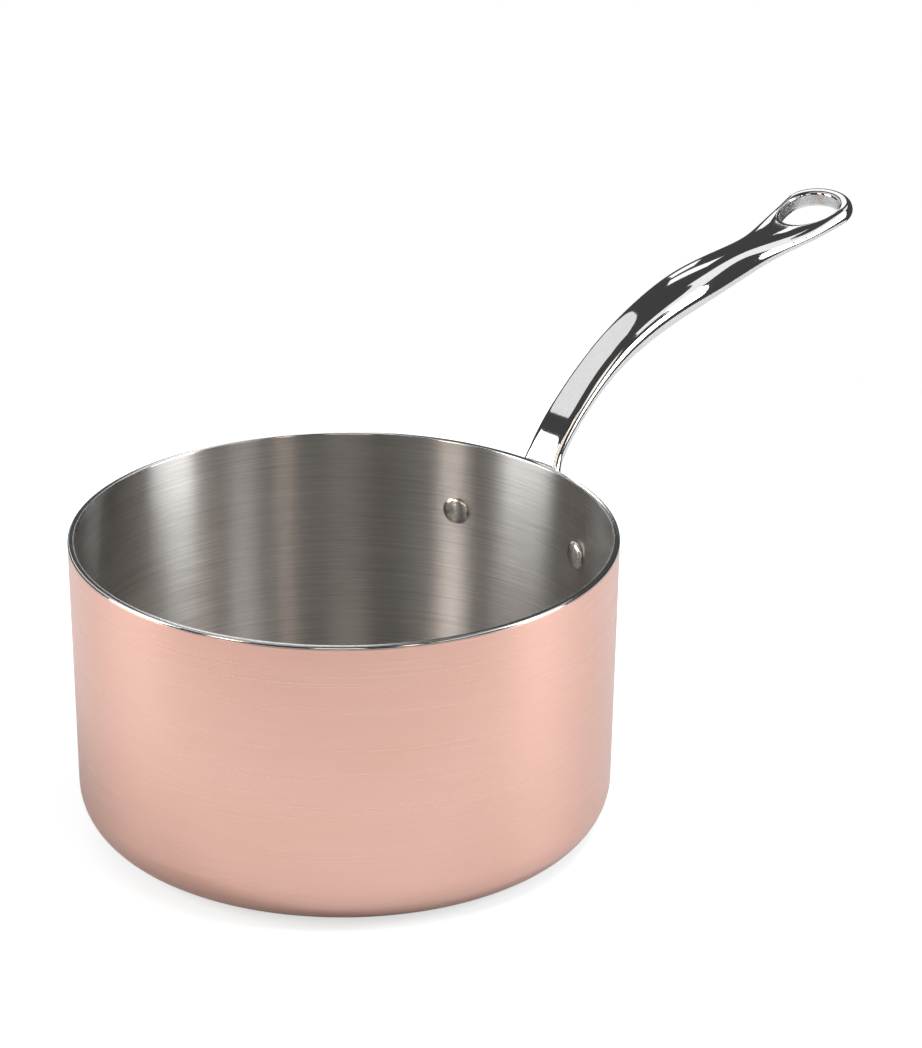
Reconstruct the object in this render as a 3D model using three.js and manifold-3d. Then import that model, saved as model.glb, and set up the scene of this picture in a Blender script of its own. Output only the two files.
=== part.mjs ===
// A 20 cm tri-ply copper saucepan with a long riveted handle.
// Millimetres, +Z up. The origin is the centre of the underside and the handle runs along +X.
import * as THREE from "three";
import { mergeVertices } from "three/addons/utils/BufferGeometryUtils.js";
import Module from "manifold-3d";

const wasm = await Module();
wasm.setup();

// The pan
const RIM_RADIUS = 100; // outer radius at the rim
const PAN_HEIGHT = 111.5;
const WALL_TAPER = 1.7; // how much narrower the outside is where the base corner starts
const CORNER_RADIUS = 17; // outer radius of the corner between wall and base
const COPPER = 0.6; // thickness of each bonded ply
const CORE = 1.2;
const LINING = 0.6;
const PLY_GAP = 0.05;
const LIP_DEPTH = 0.9; // the lining turns out over the core and shows this much on the outside
const AROUND = 72; // facets round the pan
const CORNER_STEPS = 5;

// The rivets
const RIVET_AZIMUTH = THREE.MathUtils.degToRad(18.6); // either side of the handle's plane
const RIVET_DROP = 27.6; // below the rim
const SHANK_RADIUS = 3;
const HEAD_RADIUS = 5.4;
const HEAD_RISE = 2.1;
const HEAD_STEPS = 4; // rings of facets up each domed head
const RIVET_FACETS = 24; // round each rivet
const FIT_GAP = 0.3; // left between pieces that touch

// The flange that the rivets hold
const FLANGE_THICKNESS = 3.2;
const WING_RADIUS = 9; // the round end of each wing, about its rivet
const NECK_HALF_WIDTH = 7.8;
const NECK_FILLET_RUN = 20; // the curve between neck and wings, along the wings and up the neck
const NECK_FILLET_RISE = 12;
const FLANGE_TOP = PAN_HEIGHT - 6;

// The handle: [x, z, half width, half thickness, squareness] of its cross-sections, from flange to loop
const SECTIONS = [
  [101.9, 84, 7.8, 1.6, 2.6],
  [102.3, 94, 7.8, 1.9, 2.6],
  [106.4, 106.6, 7.8, 2.8, 2.5],
  [123.5, 127.2, 7.6, 3.6, 2.4],
  [144.2, 141.8, 7.8, 5.0, 2.4],
  [167.8, 151.6, 9.0, 6.2, 2.4],
  [192.4, 157.5, 10.0, 6.6, 2.4],
  [217.8, 160.9, 8.4, 5.8, 2.5],
  [236, 163.6, 10.0, 4.1, 3],
  [250, 166.2, 12.8, 3.2, 4],
];
const SECTION_STEPS = 3; // cross-sections made between two of the list
const SECTION_POINTS = 20;
const SLOPE_SPAN = 0.05; // the share of a gap between listed sections over which the slope is taken

// The loop at its end, flat and tilted up, with an egg-shaped hole to hang it by
const LOOP_CENTRE = new THREE.Vector2(268, 170.3); // x and z where the loop is widest
const LOOP_TILT = THREE.MathUtils.degToRad(14);
const LOOP_HALF_WIDTH = 14.9;
const LOOP_REACH = 12; // from the widest place to the tip
const LOOP_HALF_THICKNESS = 3.2;
const LOOP_SQUARENESS = 4;
const HOLE_SETBACK = 3; // the hole is widest this much nearer the pan than the loop
const HOLE_HALF_WIDTH = 10.9;
const HOLE_REACH = 10; // from the hole's widest place towards the tip
const HOLE_TAIL = 16; // from the hole's widest place back towards the pan
const TIP_STEPS = 6;
const TIP_TURN = THREE.MathUtils.degToRad(84.4); // short of a right angle, which leaves a small flat

// Solids that shape or pierce the wall and the flange span these distances from the pan's axis.
const CUTTER_START = 70;
const CUTTER_END = 120;
const CURVE_STEPS = 12; // facets along each curve of an extruded outline

const MATERIALS = {
  copper: { color: 0xdfa68f, metalness: 1, roughness: 0.35 },
  aluminium: { color: 0xb9bcbf, metalness: 1, roughness: 0.5 },
  brushedSteel: { color: 0xc9cacb, metalness: 1, roughness: 0.35 },
  satinSteel: { color: 0xc9cacb, metalness: 1, roughness: 0.2 },
  mirrorSteel: { color: 0xc9cacb, metalness: 1, roughness: 0.08 },
};

// A three.js geometry as a manifold-3d solid.
function solidFrom(geometry) {
  const bare = new THREE.BufferGeometry();
  const loose = geometry.index ? geometry.toNonIndexed() : geometry;
  bare.setAttribute("position", loose.getAttribute("position"));
  const merged = mergeVertices(bare, 1e-4);
  return new wasm.Manifold(
    new wasm.Mesh({
      numProp: 3,
      vertProperties: merged.attributes.position.array,
      triVerts: new Uint32Array(merged.index.array),
    }),
  );
}

// A manifold-3d solid as a three.js mesh.
function meshFrom(name, solid, material) {
  const shape = solid.getMesh();
  const geometry = new THREE.BufferGeometry();
  geometry.setAttribute("position", new THREE.BufferAttribute(shape.vertProperties, 3));
  geometry.setIndex(new THREE.BufferAttribute(shape.triVerts, 1));
  geometry.computeVertexNormals();
  const mesh = new THREE.Mesh(geometry, new THREE.MeshStandardMaterial(material));
  mesh.name = name;
  return mesh;
}

// A profile of [radius, z] points, anticlockwise from the axis, turned about Z.
function turned(profile) {
  const points = profile.map(([radius, z]) => new THREE.Vector2(radius, z));
  return solidFrom(new THREE.LatheGeometry(points, AROUND).rotateX(Math.PI / 2));
}

// The outline of a cup whose surface lies `inset` inside the pan's outer surface, from the axis to `top`.
function cupProfile(inset, top) {
  const corner = CORNER_RADIUS - inset;
  const wallFoot = RIM_RADIUS - WALL_TAPER - inset;
  const points = [[0, inset]];
  for (let step = 0; step <= CORNER_STEPS; step++) {
    const angle = ((step / CORNER_STEPS) * Math.PI) / 2;
    const radius = wallFoot - corner + corner * Math.sin(angle);
    points.push([radius, inset + corner - corner * Math.cos(angle)]);
  }
  points.push([wallRadius(top) - inset, top]);
  return points;
}

// The pan's outer radius at a height on its wall.
function wallRadius(z) {
  const share = (PAN_HEIGHT - z) / (PAN_HEIGHT - CORNER_RADIUS);
  return RIM_RADIUS - WALL_TAPER * share;
}

// A ply between two depths below the pan's outer surface.
function ply(outside, inside, top) {
  return turned([...cupProfile(outside, top), ...cupProfile(inside, top).reverse()]);
}

// The lining and the lip that closes the top of the wall over the other two plies.
function liningSolid() {
  const outside = COPPER + CORE + 2 * PLY_GAP;
  const underLip = PAN_HEIGHT - LIP_DEPTH;
  return turned([
    ...cupProfile(outside, underLip),
    [wallRadius(underLip), underLip],
    [RIM_RADIUS, PAN_HEIGHT],
    ...cupProfile(outside + LINING, PAN_HEIGHT).reverse(),
  ]);
}

// A solid along X, placed where a rivet goes; `side` is 1 for +Y and -1 for -Y.
function atRivet(geometry, side) {
  const place = new THREE.Group();
  place.position.z = PAN_HEIGHT - RIVET_DROP;
  place.rotation.z = side * RIVET_AZIMUTH;
  place.updateMatrix();
  return solidFrom(geometry.clone().applyMatrix4(place.matrix));
}

// A rivet: a shank through the wall and the flange, with a low domed head at each end.
function rivetGeometry() {
  const wall = wallRadius(PAN_HEIGHT - RIVET_DROP);
  const wallThickness = COPPER + CORE + LINING + 2 * PLY_GAP;
  const innerSeat = wall - wallThickness - FIT_GAP - sagitta(HEAD_RADIUS, RIM_RADIUS);
  const outerSeat = wall + FIT_GAP + FLANGE_THICKNESS + FIT_GAP;
  const dome = [];
  for (let step = 0; step <= HEAD_STEPS; step++) {
    const angle = ((step / HEAD_STEPS) * Math.PI) / 2;
    dome.push([HEAD_RADIUS * Math.cos(angle), HEAD_RISE * Math.sin(angle)]);
  }
  const outer = dome.map(([radius, rise]) => new THREE.Vector2(radius, outerSeat + rise));
  const inner = dome.map(([radius, rise]) => new THREE.Vector2(radius, innerSeat - rise));
  const profile = [
    ...inner.reverse(),
    new THREE.Vector2(SHANK_RADIUS, innerSeat),
    new THREE.Vector2(SHANK_RADIUS, outerSeat),
    ...outer,
  ];
  return new THREE.LatheGeometry(profile, RIVET_FACETS).rotateZ(-Math.PI / 2);
}

// How far a circle of the given radius falls away from its tangent at a distance along it.
function sagitta(distance, radius) {
  return radius - Math.sqrt(radius * radius - distance * distance);
}

// The holes that the two rivets pass through.
function rivetHoles() {
  const radius = SHANK_RADIUS + FIT_GAP;
  const length = CUTTER_END - CUTTER_START;
  const rod = new THREE.CylinderGeometry(radius, radius, length, RIVET_FACETS);
  rod.rotateZ(Math.PI / 2).translate(CUTTER_START + length / 2, 0, 0);
  return atRivet(rod, 1).add(atRivet(rod, -1));
}

// The flange seen along X: a neck that widens downwards into a wing round each rivet.
function flangeShape() {
  const wingY = RIM_RADIUS * Math.sin(RIVET_AZIMUTH);
  const wingZ = PAN_HEIGHT - RIVET_DROP;
  const wingTop = wingZ + WING_RADIUS;
  const filletY = NECK_HALF_WIDTH + NECK_FILLET_RUN;
  const filletZ = wingTop + NECK_FILLET_RISE;
  const shape = new THREE.Shape();
  shape.moveTo(-NECK_HALF_WIDTH, FLANGE_TOP);
  shape.lineTo(NECK_HALF_WIDTH, FLANGE_TOP);
  shape.lineTo(NECK_HALF_WIDTH, filletZ);
  shape.quadraticCurveTo(NECK_HALF_WIDTH, wingTop, filletY, wingTop);
  shape.lineTo(wingY, wingTop);
  shape.absarc(wingY, wingZ, WING_RADIUS, Math.PI / 2, -Math.PI / 2, true);
  shape.lineTo(-wingY, wingZ - WING_RADIUS);
  shape.absarc(-wingY, wingZ, WING_RADIUS, -Math.PI / 2, -1.5 * Math.PI, true);
  shape.lineTo(-filletY, wingTop);
  shape.quadraticCurveTo(-NECK_HALF_WIDTH, wingTop, -NECK_HALF_WIDTH, filletZ);
  shape.closePath();
  return shape;
}

// The flange: that outline, cut from a ring which follows the wall at the fit gap.
function flangeSolid() {
  const blank = new THREE.ExtrudeGeometry(flangeShape(), {
    depth: CUTTER_END - CUTTER_START,
    bevelEnabled: false,
    curveSegments: CURVE_STEPS,
  });
  blank.rotateX(Math.PI / 2).rotateZ(Math.PI / 2).translate(CUTTER_START, 0, 0);
  const low = PAN_HEIGHT - RIVET_DROP - 2 * WING_RADIUS; // clear below the wings
  const ring = turned([
    [wallRadius(low) + FIT_GAP, low],
    [wallRadius(low) + FIT_GAP + FLANGE_THICKNESS, low],
    [RIM_RADIUS + FIT_GAP + FLANGE_THICKNESS, PAN_HEIGHT],
    [RIM_RADIUS + FIT_GAP, PAN_HEIGHT],
    [wallRadius(low) + FIT_GAP, low],
  ]);
  return solidFrom(blank).intersect(ring);
}

// One cross-section of the handle: a rounded rectangle square to the centre line, whose slope is given.
function sectionRing(x, z, slope, halfWidth, halfThickness, squareness) {
  const ring = [];
  for (let step = 0; step < SECTION_POINTS; step++) {
    const angle = (step / SECTION_POINTS) * 2 * Math.PI;
    const across = halfWidth * roundedCosine(Math.cos(angle), squareness);
    const up = halfThickness * roundedCosine(Math.sin(angle), squareness);
    ring.push(new THREE.Vector3(x - up * Math.sin(slope), across, z + up * Math.cos(slope)));
  }
  return ring;
}

// A cosine or sine pushed outwards, which turns a circle into a rounded square.
function roundedCosine(value, squareness) {
  return Math.sign(value) * Math.abs(value) ** (2 / squareness);
}

// The cross-sections of the handle, from the flange to the tip of the loop.
function handleRings() {
  const columns = SECTIONS[0].length;
  const places = SECTIONS.map((section, index) => index);
  const between = new THREE.CubicInterpolant(places, SECTIONS.flat(), columns);
  const rings = [];
  const last = SECTIONS.length - 1;
  for (let step = 0; step <= last * SECTION_STEPS; step++) {
    const place = step / SECTION_STEPS;
    const here = Array.from(between.evaluate(place));
    const behind = Array.from(between.evaluate(Math.max(place - SLOPE_SPAN, 0)));
    const ahead = Array.from(between.evaluate(Math.min(place + SLOPE_SPAN, last)));
    const slope = Math.atan2(ahead[1] - behind[1], ahead[0] - behind[0]);
    rings.push(sectionRing(here[0], here[1], slope, here[2], here[3], here[4]));
  }
  for (let step = 0; step <= TIP_STEPS; step++) {
    const angle = (step / TIP_STEPS) * TIP_TURN;
    const along = LOOP_REACH * Math.sin(angle);
    const x = LOOP_CENTRE.x + along * Math.cos(LOOP_TILT);
    const z = LOOP_CENTRE.y + along * Math.sin(LOOP_TILT);
    const halfWidth = LOOP_HALF_WIDTH * Math.cos(angle);
    rings.push(sectionRing(x, z, LOOP_TILT, halfWidth, LOOP_HALF_THICKNESS, LOOP_SQUARENESS));
  }
  return rings;
}

// A closed geometry through rings that have the same number of points.
function loft(rings) {
  const count = rings[0].length;
  const points = rings.flat();
  const index = [];
  for (let ring = 0; ring < rings.length - 1; ring++) {
    for (let step = 0; step < count; step++) {
      const here = ring * count + step;
      const beside = ring * count + ((step + 1) % count);
      index.push(here, beside, here + count, beside, beside + count, here + count);
    }
  }
  const end = (rings.length - 1) * count;
  for (let step = 1; step < count - 1; step++) {
    index.push(0, step + 1, step, end, end + step, end + step + 1);
  }
  return new THREE.BufferGeometry().setFromPoints(points).setIndex(index);
}

// The prism that cuts the hanging hole, square to the tilted loop.
function hangingHole() {
  const shape = new THREE.Shape();
  shape.absellipse(0, 0, HOLE_REACH, HOLE_HALF_WIDTH, -Math.PI / 2, Math.PI / 2);
  shape.absellipse(0, 0, HOLE_TAIL, HOLE_HALF_WIDTH, Math.PI / 2, 1.5 * Math.PI);
  const depth = 6 * LOOP_HALF_THICKNESS; // well past both faces of the loop
  const prism = new THREE.ExtrudeGeometry(shape, {
    depth,
    bevelEnabled: false,
    curveSegments: CURVE_STEPS,
  });
  prism.translate(-HOLE_SETBACK, 0, -depth / 2).rotateY(-LOOP_TILT);
  return solidFrom(prism.translate(LOOP_CENTRE.x, 0, LOOP_CENTRE.y));
}

// The handle: one casting of flange, neck, grip and loop.
function handleSolid() {
  const grip = solidFrom(loft(handleRings()));
  const clear = turned([
    [0, 0],
    [RIM_RADIUS + FIT_GAP, 0],
    [RIM_RADIUS + FIT_GAP, PAN_HEIGHT],
    [0, PAN_HEIGHT],
  ]);
  return grip.subtract(clear).add(flangeSolid()).subtract(hangingHole()).subtract(rivetHoles());
}

const saucepan = new THREE.Group();
saucepan.name = "copper_saucepan";

const holes = rivetHoles();
const plyTop = PAN_HEIGHT - LIP_DEPTH - PLY_GAP;
const shell = ply(0, COPPER, plyTop).subtract(holes);
const core = ply(COPPER + PLY_GAP, COPPER + PLY_GAP + CORE, plyTop).subtract(holes);
saucepan.add(
  meshFrom("copper_shell", shell, MATERIALS.copper),
  meshFrom("aluminium_core", core, MATERIALS.aluminium),
  meshFrom("steel_lining", liningSolid().subtract(holes), MATERIALS.brushedSteel),
  meshFrom("handle", handleSolid(), MATERIALS.mirrorSteel),
  meshFrom("rivet_left", atRivet(rivetGeometry(), 1), MATERIALS.satinSteel),
  meshFrom("rivet_right", atRivet(rivetGeometry(), -1), MATERIALS.satinSteel),
);

export default saucepan;
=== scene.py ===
"""Looks of a tri-ply copper saucepan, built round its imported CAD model.

Metres, in the row's frame: the origin is the centre of the underside, +Z is up and the handle runs
along +X. Small sizes are written in millimetres and multiplied by MM.
"""

import math

import bpy
import numpy as np
from mathutils import Matrix, Vector


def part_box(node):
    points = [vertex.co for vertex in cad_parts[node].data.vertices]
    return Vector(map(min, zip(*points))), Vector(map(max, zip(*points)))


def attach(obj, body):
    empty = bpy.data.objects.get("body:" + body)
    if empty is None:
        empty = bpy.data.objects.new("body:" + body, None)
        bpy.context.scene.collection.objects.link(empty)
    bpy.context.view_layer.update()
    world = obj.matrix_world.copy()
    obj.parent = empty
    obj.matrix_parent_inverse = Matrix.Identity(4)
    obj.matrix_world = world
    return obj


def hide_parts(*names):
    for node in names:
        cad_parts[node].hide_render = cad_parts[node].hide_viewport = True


MM = 0.001

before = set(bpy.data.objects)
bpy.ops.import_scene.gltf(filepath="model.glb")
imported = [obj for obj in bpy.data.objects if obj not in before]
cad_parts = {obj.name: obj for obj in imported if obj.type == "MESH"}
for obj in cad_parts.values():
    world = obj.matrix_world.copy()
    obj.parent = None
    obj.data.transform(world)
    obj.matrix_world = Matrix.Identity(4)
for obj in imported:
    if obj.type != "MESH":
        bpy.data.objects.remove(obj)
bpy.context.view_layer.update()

# The pan's sizes, from the CAD nodes and the plies' thicknesses
RIM_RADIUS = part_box("steel_lining")[1].x
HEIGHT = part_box("steel_lining")[1].z
LIP_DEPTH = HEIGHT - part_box("copper_shell")[1].z
WALL_TAPER = 1.7 * MM  # how much narrower the wall is at its foot
CORNER_RADIUS = 17 * MM
COPPER = 0.6 * MM
CORE = 1.2 * MM
LINING = 0.6 * MM
PLY_GAP = 0.05 * MM
WALL = COPPER + CORE + LINING + 2 * PLY_GAP
LEAN = math.atan(WALL_TAPER / (HEIGHT - CORNER_RADIUS))
AROUND = 192  # quads round the pan
RIVET_AROUND = 48

# ---------------------------------------------------------------- meshes


def add_piece(name, nodes, points, faces, materials, face_materials=None):
    """A smooth mesh piece that stands for CAD nodes and hides them."""
    mesh = bpy.data.meshes.new(name)
    mesh.from_pydata([tuple(p) for p in points], [], faces)
    for material in materials:
        mesh.materials.append(material)
    mesh.polygons.foreach_set("use_smooth", [True] * len(mesh.polygons))
    if face_materials:
        mesh.polygons.foreach_set("material_index", face_materials)
    mesh.validate()
    piece = bpy.data.objects.new(name, mesh)
    bpy.context.scene.collection.objects.link(piece)
    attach(piece, "root")
    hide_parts(*nodes)
    return piece


def arc(centre, radius, start, end, steps):
    """Points of (radius, height) along an arc, angles in degrees from the outward direction."""
    angles = np.radians(np.linspace(start, end, steps + 1))
    return [(centre[0] + radius * math.cos(a), centre[1] + radius * math.sin(a)) for a in angles]


def line(start, end, steps):
    """Points between two others, both left out."""
    shares = np.linspace(0, 1, steps + 1)[1:-1]
    return [tuple(np.array(start) * (1 - t) + np.array(end) * t) for t in shares]


def revolved(profile, around):
    """The mesh of a closed profile of (radius, height) points turned about Z.

    Returns points, faces and, for each face, the number of the profile side that made it.
    """
    points, rings = [], []
    for radius, height in profile:
        count = 1 if radius < 1e-9 else around
        rings.append(range(len(points), len(points) + count))
        for step in range(count):
            angle = 2 * math.pi * step / around
            points.append((radius * math.cos(angle), radius * math.sin(angle), height))
    faces, sides = [], []
    for side, ring in enumerate(rings):
        above = rings[(side + 1) % len(rings)]
        if len(ring) == 1 and len(above) == 1:
            continue
        for step in range(around):
            ahead = (step + 1) % around
            corners = [ring[step % len(ring)], ring[ahead % len(ring)]]
            corners += [above[ahead % len(above)], above[step % len(above)]]
            faces.append(tuple(dict.fromkeys(corners)))
            sides.append(side)
    return points, faces, sides


def cup_profile(inset, top):
    """The pan's outer surface moved in by inset, from the axis to a height on the wall."""
    centre = (wall_centre(), CORNER_RADIUS)
    radius = CORNER_RADIUS - inset
    corner = arc(centre, radius, -90, -math.degrees(LEAN), 14)
    end = (wall_radius(top) - inset / math.cos(LEAN), top)
    base = [(0, inset)] + line((0, inset), corner[0], 10)
    return base + corner + line(corner[-1], end, 26) + [end]


def wall_centre():
    """How far from the axis the centre of the corner's arc is."""
    foot_height = CORNER_RADIUS * (1 - math.sin(LEAN))
    return wall_radius(foot_height) - CORNER_RADIUS * math.cos(LEAN)


def wall_radius(height):
    """The outer radius of the wall at a height."""
    return RIM_RADIUS - math.tan(LEAN) * (HEIGHT - height)


# ---------------------------------------------------------------- materials


def new_material(name):
    """An empty node material and its Principled shader."""
    material = bpy.data.materials.new(name)
    material.use_nodes = True
    return material, material.node_tree.nodes["Principled BSDF"]


def add_node(tree, kind, inputs=None, **settings):
    """A node with its settings, and its inputs linked or set by name or number."""
    node = tree.nodes.new(kind)
    for key, value in settings.items():
        setattr(node, key, value)
    for key, value in (inputs or {}).items():
        if isinstance(value, bpy.types.NodeSocket):
            tree.links.new(value, node.inputs[key])
        else:
            node.inputs[key].default_value = value
    return node


def maths(tree, operation, first, second=0.0):
    return add_node(tree, "ShaderNodeMath", {0: first, 1: second}, operation=operation).outputs[0]


def blend_colours(tree, share, first, second):
    inputs = {"Factor": share, "A": first, "B": second}
    node = add_node(tree, "ShaderNodeMix", data_type="RGBA")
    for key, value in inputs.items():
        socket = next(s for s in node.inputs if s.name == key and s.enabled)
        if isinstance(value, bpy.types.NodeSocket):
            tree.links.new(value, socket)
        else:
            socket.default_value = value
    return next(s for s in node.outputs if s.enabled)


def spread(tree, value, low, high, to_low=0.0, to_high=1.0):
    inputs = {"Value": value, "From Min": low, "From Max": high, "To Min": to_low, "To Max": to_high}
    return add_node(tree, "ShaderNodeMapRange", inputs).outputs["Result"]


def turned_coordinates(tree, around, across):
    """Coordinates that run slowly round the pan and fast up its wall and out over its base."""
    place = add_node(tree, "ShaderNodeTexCoord").outputs["Object"]
    parts = add_node(tree, "ShaderNodeSeparateXYZ", {0: place}).outputs
    east_squared = maths(tree, "POWER", parts[0], 2.0)
    north_squared = maths(tree, "POWER", parts[1], 2.0)
    radius = maths(tree, "SQRT", maths(tree, "ADD", east_squared, north_squared))
    profile = maths(tree, "MULTIPLY", maths(tree, "ADD", parts[2], radius), across)
    east = maths(tree, "MULTIPLY", parts[0], around)
    north = maths(tree, "MULTIPLY", parts[1], around)
    return add_node(tree, "ShaderNodeCombineXYZ", {0: east, 1: north, 2: profile}).outputs[0]


def noise(tree, place, scale, detail=2.0, roughness=0.5):
    inputs = {"Vector": place, "Scale": scale, "Detail": detail, "Roughness": roughness}
    return add_node(tree, "ShaderNodeTexNoise", inputs).outputs[0]


def brush_direction(tree, shader, anisotropy):
    """Stretches the highlights across brush marks that run round the pan."""
    tangent = add_node(tree, "ShaderNodeTangent", direction_type="RADIAL", axis="Z")
    tree.links.new(tangent.outputs[0], shader.inputs["Tangent"])
    shader.inputs["Anisotropic"].default_value = anisotropy
    shader.inputs["Anisotropic Rotation"].default_value = 0.25


def add_bump(tree, shader, height, strength, distance):
    inputs = {"Height": height, "Strength": strength, "Distance": distance}
    bump = add_node(tree, "ShaderNodeBump", inputs)
    tree.links.new(bump.outputs[0], shader.inputs["Normal"])


def copper_material():
    """Satin copper with very fine marks round the wall and a slightly deeper tone in broad patches."""
    material, shader = new_material("satin_copper")
    tree = material.node_tree
    marks = noise(tree, turned_coordinates(tree, 6, 2600), 1.0, 3)
    patches = noise(tree, turned_coordinates(tree, 14, 30), 1.0, 2)
    pale, deep = (0.95, 0.6, 0.505, 1), (0.93, 0.565, 0.465, 1)
    tone = maths(tree, "ADD", maths(tree, "MULTIPLY", marks, 0.5), maths(tree, "MULTIPLY", patches, 0.5))
    colour = blend_colours(tree, spread(tree, tone, 0.35, 0.65), pale, deep)
    tree.links.new(colour, shader.inputs["Base Color"])
    tree.links.new(spread(tree, marks, 0.3, 0.7, 0.27, 0.3), shader.inputs["Roughness"])
    shader.inputs["Metallic"].default_value = 1.0
    brush_direction(tree, shader, 0.6)
    add_bump(tree, shader, marks, 0.01, 0.02 * MM)
    return material


def brushed_steel_material():
    """Stainless steel with circular brush marks, deeper single scratches and faint warm streaks."""
    material, shader = new_material("brushed_steel")
    tree = material.node_tree
    fine = noise(tree, turned_coordinates(tree, 30, 3000), 1.0, 4, 0.65)
    coarse = noise(tree, turned_coordinates(tree, 16, 1300), 1.0, 3, 0.6)
    scratches = spread(tree, noise(tree, turned_coordinates(tree, 90, 2400), 1.0, 2), 0.6, 0.7)
    marks = maths(tree, "ADD", maths(tree, "MULTIPLY", fine, 0.6), maths(tree, "MULTIPLY", coarse, 0.4))
    dark, pale, scratched = (0.56, 0.54, 0.525, 1), (0.76, 0.75, 0.735, 1), (0.85, 0.84, 0.83, 1)
    colour = blend_colours(tree, spread(tree, marks, 0.35, 0.65), dark, pale)
    colour = blend_colours(tree, maths(tree, "MULTIPLY", scratches, 0.5), colour, scratched)
    tree.links.new(colour, shader.inputs["Base Color"])
    tree.links.new(spread(tree, marks, 0.3, 0.7, 0.27, 0.34), shader.inputs["Roughness"])
    shader.inputs["Metallic"].default_value = 1.0
    brush_direction(tree, shader, 1.0)
    add_bump(tree, shader, marks, 0.08, 0.03 * MM)
    return material


def polished_steel_material(name, tint, roughness, waviness):
    """Bright polished steel with faint swirl marks and the slight unevenness of hand polishing."""
    material, shader = new_material(name)
    tree = material.node_tree
    place = add_node(tree, "ShaderNodeTexCoord").outputs["Object"]
    swirl = noise(tree, place, 900, 3, 0.6)
    waves = noise(tree, place, 60, 2)
    dulled = tuple(0.95 * channel for channel in tint[:3]) + (1,)
    colour = blend_colours(tree, spread(tree, swirl, 0.4, 0.6), tint, dulled)
    tree.links.new(colour, shader.inputs["Base Color"])
    finish = spread(tree, swirl, 0.3, 0.7, roughness * 0.8, roughness * 1.3)
    tree.links.new(finish, shader.inputs["Roughness"])
    shader.inputs["Metallic"].default_value = 1.0
    add_bump(tree, shader, waves, waviness, 0.2 * MM)
    return material


def aluminium_material():
    """The dull rolled aluminium of the core."""
    material, shader = new_material("rolled_aluminium")
    tree = material.node_tree
    grain = noise(tree, turned_coordinates(tree, 20, 900), 1.0, 3)
    dark, pale = (0.66, 0.67, 0.69, 1), (0.76, 0.77, 0.79, 1)
    colour = blend_colours(tree, spread(tree, grain, 0.35, 0.65), dark, pale)
    tree.links.new(colour, shader.inputs["Base Color"])
    tree.links.new(spread(tree, grain, 0.3, 0.7, 0.4, 0.55), shader.inputs["Roughness"])
    shader.inputs["Metallic"].default_value = 1.0
    return material


STEEL_TINT = (0.82, 0.82, 0.82, 1)
rim_steel = polished_steel_material("polished_rim", STEEL_TINT, 0.1, 0.05)
handle_steel = polished_steel_material("polished_casting", STEEL_TINT, 0.045, 0.12)
hole_steel = polished_steel_material("satin_casting", (0.7, 0.7, 0.7, 1), 0.38, 0.3)
rivet_steel = polished_steel_material("polished_rivet", (0.8, 0.78, 0.74, 1), 0.24, 0.3)

# ---------------------------------------------------------------- the three plies


def build_copper_shell():
    top = HEIGHT - LIP_DEPTH
    edge = 0.15 * MM
    outside = cup_profile(0, top - edge)
    rim = arc((outside[-1][0] - edge, top - edge), edge, 0, 90, 3)[1:]
    inside = cup_profile(COPPER, top)[::-1]
    points, faces, _ = revolved(outside + rim + inside, AROUND)
    return add_piece("copper_shell_skin", ["copper_shell"], points, faces, [copper_material()])


def build_core():
    inset = COPPER + PLY_GAP
    top = HEIGHT - LIP_DEPTH
    profile = cup_profile(inset, top) + cup_profile(inset + CORE, top)[::-1]
    points, faces, _ = revolved(profile, AROUND)
    return add_piece("core_ply", ["aluminium_core"], points, faces, [aluminium_material()])


def build_lining():
    """The lining with its turned lip, whose corners are rounded and whose edge is polished bright."""
    inset = COPPER + CORE + 2 * PLY_GAP
    under_lip = HEIGHT - LIP_DEPTH + PLY_GAP
    outer_round, inner_round, under_round = 0.72 * MM, 0.45 * MM, 0.12 * MM
    outside = cup_profile(inset, under_lip)
    lip_radius = RIM_RADIUS - 0.02 * MM
    lip = line(outside[-1], (lip_radius - under_round, under_lip), 4)
    lip += arc((lip_radius - under_round, under_lip + under_round), under_round, -90, 0, 3)
    lip += arc((lip_radius - outer_round, HEIGHT - outer_round), outer_round, 0, 90, 6)
    bore = wall_radius(HEIGHT) - WALL / math.cos(LEAN)
    lip += line(lip[-1], (bore + inner_round, HEIGHT), 4)
    lip += arc((bore + inner_round, HEIGHT - inner_round), inner_round, 90, 180, 6)
    inside = cup_profile(WALL, HEIGHT - inner_round - 0.2 * MM)[::-1]
    points, faces, sides = revolved(outside + lip + inside, AROUND)
    first_polished, last_polished = len(outside) - 1, len(outside) + len(lip) - 1
    polished = [int(first_polished <= side < last_polished) for side in sides]
    materials = [brushed_steel_material(), rim_steel]
    return add_piece("steel_lining_bowl", ["steel_lining"], points, faces, materials, polished)


# ---------------------------------------------------------------- the handle

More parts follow.
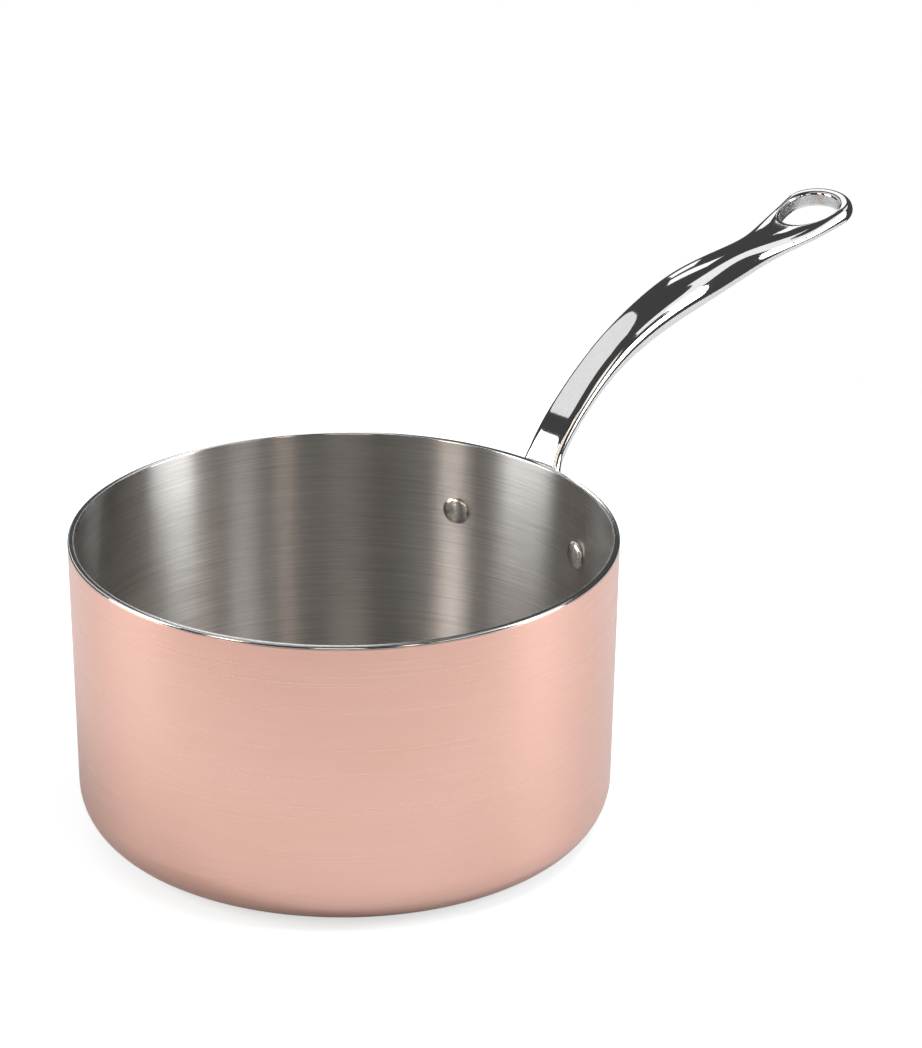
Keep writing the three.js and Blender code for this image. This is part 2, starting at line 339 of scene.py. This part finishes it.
# Millimetres: x, z, half width, half thickness, rounding radius of the upper and the lower edges,
# squareness of that rounding, and how much the section wraps round the pan's wall
HANDLE_SECTIONS = np.array(
    [
        [101.2, 73.9, 7.8, 1.6, 0.6, 2.2, 2.0, 1.0],
        [101.4, 83.9, 7.8, 1.6, 0.6, 2.2, 2.0, 1.0],
        [102.3, 94.0, 7.8, 1.9, 0.9, 2.6, 2.0, 0.8],
        [106.4, 106.6, 7.8, 2.8, 1.5, 3.5, 2.1, 0.1],
        [123.5, 127.2, 7.6, 3.6, 2.8, 5.5, 2.2, 0.0],
        [144.2, 141.8, 7.8, 5.0, 5.6, 7.0, 2.3, 0.0],
        [167.8, 151.6, 9.0, 6.2, 8.8, 8.8, 2.4, 0.0],
        [192.4, 157.5, 10.0, 6.6, 9.8, 9.8, 2.4, 0.0],
        [217.8, 160.9, 8.4, 5.8, 8.2, 8.2, 2.4, 0.0],
        [236.0, 163.6, 10.0, 4.1, 9.0, 7.6, 2.2, 0.0],
        [250.0, 166.2, 12.8, 3.3, 7.0, 5.0, 2.1, 0.0],
        [268.0, 170.3, 14.9, 3.2, 2.0, 3.2, 2.0, 0.0],
    ]
)
FLANGE_FOOT = 0  # the row at the flange's lower edge
RIVET_ROW = 1  # the row at the rivets' height
WING_RADIUS = 9.0  # the round end of each wing, about its rivet
WING_FILLET = 20.0
RIVET_HOLE = 3.3
FLARE_START = 240.0  # the x where the grip ends and the loop begins
HOLE_SETBACK = 3.0  # the hanging hole is widest this much nearer the pan than the loop
HOLE_REACH = 10.0
HOLE_TAIL = 16.0
HOLE_HALF_WIDTH = 10.9
HOLE_EDGE = 1.2  # rounding of the edges of the holes

FLANGE_ROWS = 14  # quads up the flange, between its two edges
GRIP_ROWS = 54
HANDLE_COLUMNS = 16
RING_STEPS = 12  # quads from the outline of a ring in to its hole


def natural_spline(knots, values, at):
    """A natural cubic spline through the rows of values at the knots."""
    gaps = np.diff(knots)
    last = len(knots) - 1
    system, load = np.eye(len(knots)), np.zeros_like(values)
    for i in range(1, last):
        system[i, i - 1 : i + 2] = gaps[i - 1], 2 * (gaps[i - 1] + gaps[i]), gaps[i]
        load[i] = 6 * ((values[i + 1] - values[i]) / gaps[i] - (values[i] - values[i - 1]) / gaps[i - 1])
    bend = np.linalg.solve(system, load)
    i = np.clip(np.searchsorted(knots, at) - 1, 0, last - 1)
    before, after = (knots[i + 1] - at)[:, None], (at - knots[i])[:, None]
    gap = gaps[i][:, None]
    curved = (bend[i] * before**3 + bend[i + 1] * after**3) / (6 * gap)
    straight = (values[i] / gap - bend[i] * gap / 6) * before
    return curved + straight + (values[i + 1] / gap - bend[i + 1] * gap / 6) * after


class HandleLine:
    """The handle's centre line in the XZ plane, with its sections at any distance along it."""

    def __init__(self, sections, rivet_row):
        chords = np.hypot(*np.diff(sections[:, :2], axis=0).T)
        knots = np.concatenate([[0], np.cumsum(chords)])
        self.rows = natural_spline(knots, sections, np.linspace(0, knots[-1], 1600))
        steps = np.gradient(self.rows[:, :2], axis=0)
        slopes = np.arctan2(steps[:, 1], steps[:, 0])
        lengths = np.concatenate([[0], np.cumsum(np.hypot(*np.diff(self.rows[:, :2], axis=0).T))])
        self.along = lengths - np.interp(knots[rivet_row], np.linspace(0, knots[-1], 1600), lengths)
        ends = []
        for end, step in ((0, -1), (-1, 1)):
            reach = 60.0 * step
            row = self.rows[end].copy()
            row[:2] += reach * np.array([math.cos(slopes[end]), math.sin(slopes[end])])
            ends.append((self.along[end] + reach, row, slopes[end]))
        self.end = self.along[-1]
        self.along = np.concatenate([[ends[0][0]], self.along, [ends[1][0]]])
        self.rows = np.vstack([ends[0][1], self.rows, ends[1][1]])
        self.slopes = np.concatenate([[ends[0][2]], slopes, [ends[1][2]]])

    def section(self, distance):
        """The section's columns at each distance, and the slope there."""
        columns = [np.interp(distance, self.along, column) for column in self.rows.T]
        return columns, np.interp(distance, self.along, self.slopes)

    def distance_at(self, x):
        """How far along the line it reaches a given x, past the rivets."""
        past = self.along > 0
        return float(np.interp(x, self.rows[past, 0], self.along[past]))


class Planform:
    """A flat sheet of quads in (distance along the handle, distance across it)."""

    def __init__(self):
        self.points, self.faces, self._numbers = [], [], {}

    def number(self, point):
        key = (round(point[0], 4) + 0.0, round(point[1], 4) + 0.0)
        if key not in self._numbers:
            self._numbers[key] = len(self.points)
            self.points.append(key)
        return self._numbers[key]

    def add_grid(self, rows):
        """Quads between rows of points that have the same number of points."""
        numbers = [[self.number(point) for point in row] for row in rows]
        for row, above in zip(numbers, numbers[1:]):
            for i in range(len(row) - 1):
                face = [row[i], row[i + 1], above[i + 1], above[i]]
                self.faces.append(face if self._turns_left(face) else face[::-1])

    def _turns_left(self, face):
        corners = np.array([self.points[i] for i in face])
        ahead = np.roll(corners, -1, axis=0)
        return np.sum(corners[:, 0] * ahead[:, 1] - corners[:, 1] * ahead[:, 0]) > 0

    def borders(self):
        """The closed loops of points that bound the sheet, the outline first and then the holes."""
        after = {}
        sides = {(a, b) for face in self.faces for a, b in zip(face, face[1:] + face[:1])}
        for a, b in sides:
            if (b, a) not in sides:
                after[a] = b
        loops = []
        while after:
            start, step = after.popitem()
            loop = [start]
            while step != start:
                loop.append(step)
                step = after.pop(step)
            loops.append(loop)
        return sorted(loops, key=lambda loop: -self._width(loop))

    def _width(self, loop):
        return np.ptp([self.points[i][0] for i in loop])


def eased(steps):
    """Shares from 0 to 1, close together at both ends."""
    return (1 - np.cos(np.linspace(0, math.pi, steps + 1))) / 2


def add_ring(sheet, border, centre, hole_point):
    """A ring of quads between a closed border and the hole that hole_point gives for each direction."""
    columns = []
    for point in border:
        direction = math.atan2(point[1] - centre[1], point[0] - centre[0])
        inner = np.array(hole_point(direction))
        columns.append([tuple(np.array(point) * (1 - t) + inner * t) for t in eased(RING_STEPS)])
    sheet.add_grid(columns + [columns[0]])


def oval_point(centre, reach, tail, half_width):
    """A function from a direction to the point of an egg-shaped oval that lies that way."""

    def point(direction):
        length = reach if math.cos(direction) > 0 else tail
        turn = math.atan2(math.sin(direction) / half_width, math.cos(direction) / length)
        return centre[0] + length * math.cos(turn), centre[1] + half_width * math.sin(turn)

    return point


def handle_planform(handle_line):
    """The handle's outline from the winged flange to the loop, as quads, with its three holes."""
    sheet = Planform()
    rivet_low, rivet_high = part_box("rivet_left")
    rivet_middle = (rivet_low + rivet_high) / 2 / MM
    section, _ = handle_line.section(np.array([0.0]))
    rivet_turn = math.atan2(rivet_middle.y, rivet_middle.x)
    wing_across = float(section[0][0]) * rivet_turn
    neck = HANDLE_SECTIONS[FLANGE_FOOT, 2]
    fillet_top = WING_RADIUS + WING_FILLET
    flange_along = -WING_RADIUS + (fillet_top + WING_RADIUS) * eased(FLANGE_ROWS)

    # The neck and the grip, from the flange's lower edge to the loop. Beside the wings the neck keeps
    # one width, so that both share its edge.
    grip_end = handle_line.distance_at(FLARE_START)
    grip_along = np.linspace(fillet_top, grip_end, GRIP_ROWS + 1)[1:]
    columns = np.sin(np.linspace(-math.pi / 2, math.pi / 2, HANDLE_COLUMNS + 1))
    rows = []
    for along in np.concatenate([flange_along, grip_along]):
        half_width = neck
        if along > fillet_top:
            half_width = handle_line.section(np.array([along]))[0][2][0]
        rows.append([(along, half_width * share) for share in columns])
    sheet.add_grid(rows)

    # The wings, which narrow from the neck to a round end about each rivet
    for side in (1, -1):
        wing = []
        for turn in np.linspace(0, math.pi / 2, 9):
            across = side * (neck + WING_FILLET * (1 - math.cos(turn)))
            rise = fillet_top - WING_FILLET * math.sin(turn) + WING_RADIUS
            wing.append([(rise * share - WING_RADIUS, across) for share in eased(FLANGE_ROWS)])
        sheet.add_grid(wing)
        shoulder = abs(wing[-1][0][1])
        straight = [side * (shoulder + (wing_across - shoulder) * share) for share in (0.25, 0.5, 0.75)]
        edge = [(WING_RADIUS, across) for across in straight]
        for turn in np.linspace(math.pi / 2, -math.pi / 2, 21):
            across = side * (wing_across + WING_RADIUS * math.cos(turn))
            edge.append((WING_RADIUS * math.sin(turn), across))
        edge += [(-WING_RADIUS, across) for across in reversed(straight)]
        centre = (0.0, side * wing_across)
        rivet_hole = oval_point(centre, RIVET_HOLE, RIVET_HOLE, RIVET_HOLE)
        add_ring(sheet, wing[-1] + edge, centre, rivet_hole)

    # The loop, with its egg-shaped hole
    widest, half_width = handle_line.end, HANDLE_SECTIONS[-1, 2]
    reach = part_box("handle")[1].x / MM - HANDLE_SECTIONS[-1, 0]
    flank = np.linspace(grip_end, widest, 12)[1:-1]
    flank_width = handle_line.section(flank)[0][2]
    edge = list(zip(flank, flank_width))
    for turn in np.linspace(math.pi / 2, -math.pi / 2, 29):
        edge.append((widest + reach * math.cos(turn), half_width * math.sin(turn)))
    edge += list(zip(flank[::-1], -flank_width[::-1]))
    hole_centre = (widest - HOLE_SETBACK, 0.0)
    hanging_hole = oval_point(hole_centre, HOLE_REACH, HOLE_TAIL, HOLE_HALF_WIDTH)
    add_ring(sheet, rows[-1] + edge, hole_centre, hanging_hole)
    return sheet


def rounding(share, squareness):
    """The height of a rounded edge, as a share, at a share of its radius in from the outline."""
    share = np.clip(share, 0, 1)
    return (1 - (1 - share) ** squareness) ** (1 / squareness)


def distance_to(points, loop):
    """The distance of each point from a closed loop of points."""
    starts, ends = loop, np.roll(loop, -1, axis=0)
    sides = ends - starts
    offsets = points[:, None] - starts
    share = np.clip((offsets * sides).sum(2) / (sides**2).sum(1), 0, 1)
    return np.linalg.norm(offsets - share[..., None] * sides, axis=2).min(1)


def place_on_handle(handle_line, along, across, height):
    """Points in metres, from distances along and across the handle and heights over its middle."""
    (x, z, *_, wrap), slope = handle_line.section(along)
    bend_radius = x / np.maximum(wrap, 1e-4)
    out = bend_radius - height * np.sin(slope)
    turn = across / bend_radius
    points = [x - bend_radius + out * np.cos(turn), out * np.sin(turn), z + height * np.cos(slope)]
    return np.stack(points, axis=1) * MM


def build_handle():
    """One polished casting: flange, neck, grip and loop, rounded along its outline and its holes."""
    handle_line = HandleLine(HANDLE_SECTIONS, RIVET_ROW)
    sheet = handle_planform(handle_line)
    flat = np.array(sheet.points)
    outline, *holes = sheet.borders()
    section, _ = handle_line.section(flat[:, 0])
    half_thickness, upper_radius, lower_radius, squareness = section[3:7]
    from_outline = distance_to(flat, flat[outline])
    from_outline[outline] = 0
    upper = half_thickness * rounding(from_outline / upper_radius, squareness)
    lower = half_thickness * rounding(from_outline / lower_radius, squareness)
    for hole in holes:
        drop = HOLE_EDGE * (1 - rounding(distance_to(flat, flat[hole]) / HOLE_EDGE, 2.0))
        upper, lower = upper - drop, lower - drop
    top = place_on_handle(handle_line, flat[:, 0], flat[:, 1], upper)
    bottom = place_on_handle(handle_line, flat[:, 0], flat[:, 1], -lower)

    # The lower sheet shares the outline's points with the upper one
    on_outline = set(outline)
    inner = [i for i in range(len(flat)) if i not in on_outline]
    below = {i: i for i in outline}
    below.update({i: len(flat) + n for n, i in enumerate(inner)})
    points = list(top) + list(bottom[inner])
    faces = [tuple(face) for face in sheet.faces]
    faces += [tuple(below[i] for i in reversed(face)) for face in sheet.faces]
    wall_steps = 3
    skin_faces = len(faces)
    for hole in holes:
        layers = [hole]
        for step in range(1, wall_steps):
            layers.append(range(len(points), len(points) + len(hole)))
            share = step / wall_steps
            points += [points[i] * (1 - share) + points[below[i]] * share for i in hole]
        layers.append([below[i] for i in hole])
        for above, under in zip(layers, layers[1:]):
            for n in range(len(hole)):
                ahead = (n + 1) % len(hole)
                faces.append((above[ahead], above[n], under[n], under[ahead]))
    satin = [int(face >= skin_faces) for face in range(len(faces))]
    materials = [handle_steel, hole_steel]
    piece = add_piece("handle_casting", ["handle"], points, faces, materials, satin)
    smoothing = piece.modifiers.new("smoothing", "SUBSURF")
    smoothing.levels = smoothing.render_levels = 1
    return piece


# ---------------------------------------------------------------- the rivets


def build_rivet(node, name):
    """A rivet with a low domed head at each end, where the CAD node is."""
    low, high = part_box(node)
    middle = (low + high) / 2
    turn = math.atan2(middle.y, middle.x)
    head_radius = (high.z - low.z) / 2
    half_length = ((high.x - low.x) / 2 - head_radius * abs(math.sin(turn)) * 0.5) / math.cos(turn)
    rise, shank, brim = 2.1 * MM, 3.0 * MM, 0.35 * MM
    seat = half_length - rise
    dome_radius = head_radius - brim
    head = arc((head_radius - brim, seat + brim), brim, -90, 0, 4)
    for turn_share in np.linspace(0, 1, 13)[1:]:
        angle = turn_share * math.pi / 2
        height = seat + brim + (rise - brim) * math.sin(angle) ** 0.9
        head.append((head_radius - dome_radius * (1 - math.cos(angle)) - brim * turn_share, height))
    head[-1] = (0.0, head[-1][1])
    upper = [(shank, seat)] + head
    lower = [(radius, -height) for radius, height in reversed(upper)]
    points, faces, _ = revolved(lower + upper, RIVET_AROUND)
    outwards = Matrix.Rotation(turn, 4, "Z") @ Matrix.Rotation(math.pi / 2, 4, "Y")
    place = Matrix.Translation(middle) @ outwards
    points = [place @ Vector(point) for point in points]
    return add_piece(name, [node], points, faces, [rivet_steel])


pan_pieces = [build_copper_shell(), build_core(), build_lining()]
for pan_piece in pan_pieces:
    pan_piece.modifiers.new("flat_faces", "WEIGHTED_NORMAL")
build_handle()
build_rivet("rivet_left", "rivet_left_domed")
build_rivet("rivet_right", "rivet_right_domed")

# ---------------------------------------------------------------- camera


CAMERA_PLACE = Vector((-1.0105, -1.0105, 0.7195))  # 1.6 m from the pan and 27 degrees above it
CAMERA_AIM = Vector((0.0290, -0.0308, 0.1154))
CAMERA_ROLL = 0.0066
CAMERA_LENS = 147.2


def add_camera():
    """A long lens at the photograph's viewpoint."""
    camera = bpy.data.objects.new("camera", bpy.data.cameras.new("camera"))
    bpy.context.scene.collection.objects.link(camera)
    camera.location = CAMERA_PLACE
    look = (CAMERA_AIM - CAMERA_PLACE).to_track_quat("-Z", "Y")
    camera.rotation_euler = (look.to_matrix() @ Matrix.Rotation(CAMERA_ROLL, 3, "Z")).to_euler()
    camera.data.lens = CAMERA_LENS
    camera.data.clip_end = 100
    bpy.context.scene.camera = camera


# ---------------------------------------------------------------- studio

CAMERA_SIDE = Vector((-1, -1, 0)).normalized()  # from the pan towards the camera
CAMERA_RIGHT = Vector((1, -1, 0)).normalized()


def direction(azimuth, elevation):
    """A direction from the pan: azimuth from the camera's side towards its right, in degrees."""
    a, e = math.radians(azimuth), math.radians(elevation)
    level = CAMERA_SIDE * math.cos(a) + CAMERA_RIGHT * math.sin(a)
    return level * math.cos(e) + Vector((0, 0, math.sin(e)))


def add_stage(name, points, faces, material):
    mesh = bpy.data.meshes.new(name)
    mesh.from_pydata(points, [], faces)
    mesh.materials.append(material)
    thing = bpy.data.objects.new(name, mesh)
    bpy.context.scene.collection.objects.link(thing)
    return thing


def glow_material(name, colour, strength):
    material, _ = new_material(name)
    tree = material.node_tree
    tree.nodes.clear()
    glow = add_node(tree, "ShaderNodeEmission", {"Color": (*colour, 1), "Strength": strength})
    add_node(tree, "ShaderNodeOutputMaterial", {"Surface": glow.outputs[0]})
    return material


def add_card(name, azimuths, elevations, strength, colour=(1, 1, 1), distance=2.6, first_low=None):
    """A glowing card that fills a range of azimuths and elevations as seen from the pan.

    Its lower edge may start at another elevation, and then runs straight to its own at the far end.
    """
    points, faces = [], []
    steps = 8
    start_low = elevations[0] if first_low is None else first_low
    for i in range(steps + 1):
        share = i / steps
        azimuth = azimuths[0] + (azimuths[1] - azimuths[0]) * share
        low = start_low + (elevations[0] - start_low) * share
        points += [direction(azimuth, elevation) * distance for elevation in (low, elevations[1])]
        if i:
            faces.append((2 * i - 2, 2 * i - 1, 2 * i + 1, 2 * i))
    card = add_stage(name, points, faces, glow_material(name, colour, strength))
    card.visible_camera = False
    card.visible_shadow = False
    return card


def add_floor():
    """A matt pale floor, which the camera itself sees burnt out but for the shadow at the pan's foot."""
    material, shader = new_material("pale_floor")
    tree = material.node_tree
    shader.inputs["Base Color"].default_value = (0.7, 0.71, 0.73, 1)
    shader.inputs["Roughness"].default_value = 0.9
    shader.inputs["Specular IOR Level"].default_value = 0.0
    shader.inputs["Emission Color"].default_value = (1, 1, 1, 1)
    seen = add_node(tree, "ShaderNodeLightPath").outputs["Is Camera Ray"]
    tree.links.new(spread(tree, seen, 0.0, 1.0, 0.04, 0.64), shader.inputs["Emission Strength"])
    radius, drop = 0.5, 0.2 * MM
    edge = [direction(azimuth, 0) * radius - Vector((0, 0, drop)) for azimuth in range(0, 360, 5)]
    return add_stage("floor", edge, [tuple(range(len(edge)))], material)


def add_key_light():
    """A soft light high over the pan's right side, which the polished metal doesn't show."""
    lamp = bpy.data.lights.new("key_light", "AREA")
    lamp.shape = "DISK"
    lamp.size = 0.6
    lamp.energy = 4.6
    light = bpy.data.objects.new("key_light", lamp)
    bpy.context.scene.collection.objects.link(light)
    light.location = direction(80, 74) * 1.0
    light.rotation_euler = (-light.location).to_track_quat("-Z", "Y").to_euler()
    light.visible_camera = False
    light.visible_glossy = False


def add_surroundings():
    """A dim room, which the camera itself sees as white."""
    world = bpy.data.worlds.new("studio")
    bpy.context.scene.world = world
    world.use_nodes = True
    tree = world.node_tree
    seen = add_node(tree, "ShaderNodeLightPath").outputs["Is Camera Ray"]
    strength = spread(tree, seen, 0.0, 1.0, 0.06, 1.0)
    tree.links.new(strength, tree.nodes["Background"].inputs["Strength"])
    tree.nodes["Background"].inputs["Color"].default_value = (1, 1, 1, 1)


add_camera()
add_floor()
add_surroundings()
add_key_light()
add_card("back_strip", (179, 184.5), (14, 28), 1.3)
add_card("loop_card", (171, 184.5), (33, 40), 1.3)
add_card("left_sail", (-164, -104), (47, 80), 0.9, first_low=12)
add_card("left_softbox", (-103, -75), (0, 42), 5.4, distance=1.2)
add_card("left_window", (-58, -45), (24, 46), 6.5, (1.0, 0.83, 0.71))
add_card("front_card", (-13, 8), (24, 46), 2.0, (1.0, 0.93, 0.84))
add_card("front_strip", (24, 31), (22, 44), 3.8, (1.0, 0.8, 0.62))
add_card("front_right_card", (38, 56), (24, 48), 1.3, (1.0, 0.92, 0.84))
add_card("right_softbox", (70, 93), (0, 24), 6.4, distance=1.2)
add_card("right_window", (74, 90), (24, 43), 10.5)
add_card("right_sail", (64, 150), (42, 62), 1.05)
bpy.context.scene.view_settings.view_transform = "Standard"
bpy.context.scene.cycles.caustics_reflective = False  # no copper-coloured glow on the floor
